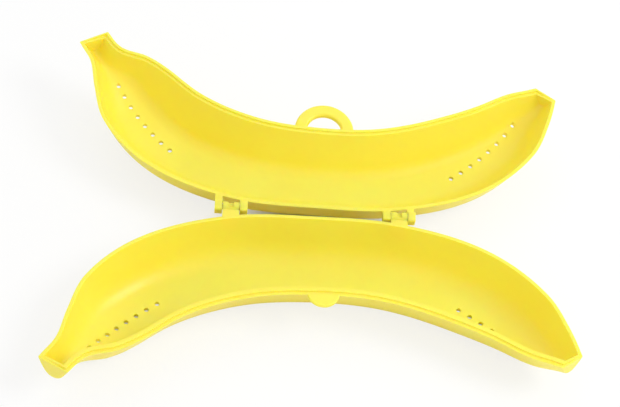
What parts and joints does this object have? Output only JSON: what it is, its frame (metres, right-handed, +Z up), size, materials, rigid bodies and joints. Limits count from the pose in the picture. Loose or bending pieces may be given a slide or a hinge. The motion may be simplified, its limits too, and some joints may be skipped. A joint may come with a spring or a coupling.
{
  "type": "banana carrying case",
  "caption": "Hard plastic case shaped like a banana: vented half shells on pin hinges, with an overlapping rim, a thumb tab and a carry loop.",
  "frame": {"origin": "on the flat foot of the base, below the middle of the bend, where the base's centre line passes between the hinges", "axes": "+X from the stem end to the blossom end, +Y towards the hinges and the opened lid, +Z up"},
  "size_m": [0.2737, 0.2171, 0.043],
  "materials": {
    "case_plastic": "satin moulded"
  },
  "bodies": {
    "base": {"base_shell": "case_plastic"},
    "lid": {"lid_shell": "case_plastic", "hinge_pin_left": "case_plastic", "hinge_pin_right": "case_plastic"}
  },
  "joints": [
    {"name": "lid_hinge", "type": "hinge", "parent": "base", "child": "lid", "pos_m": [0, 0.02871, 0.02618], "axis": [1, 0, 0], "range_deg": [0, 170]}
  ]
}
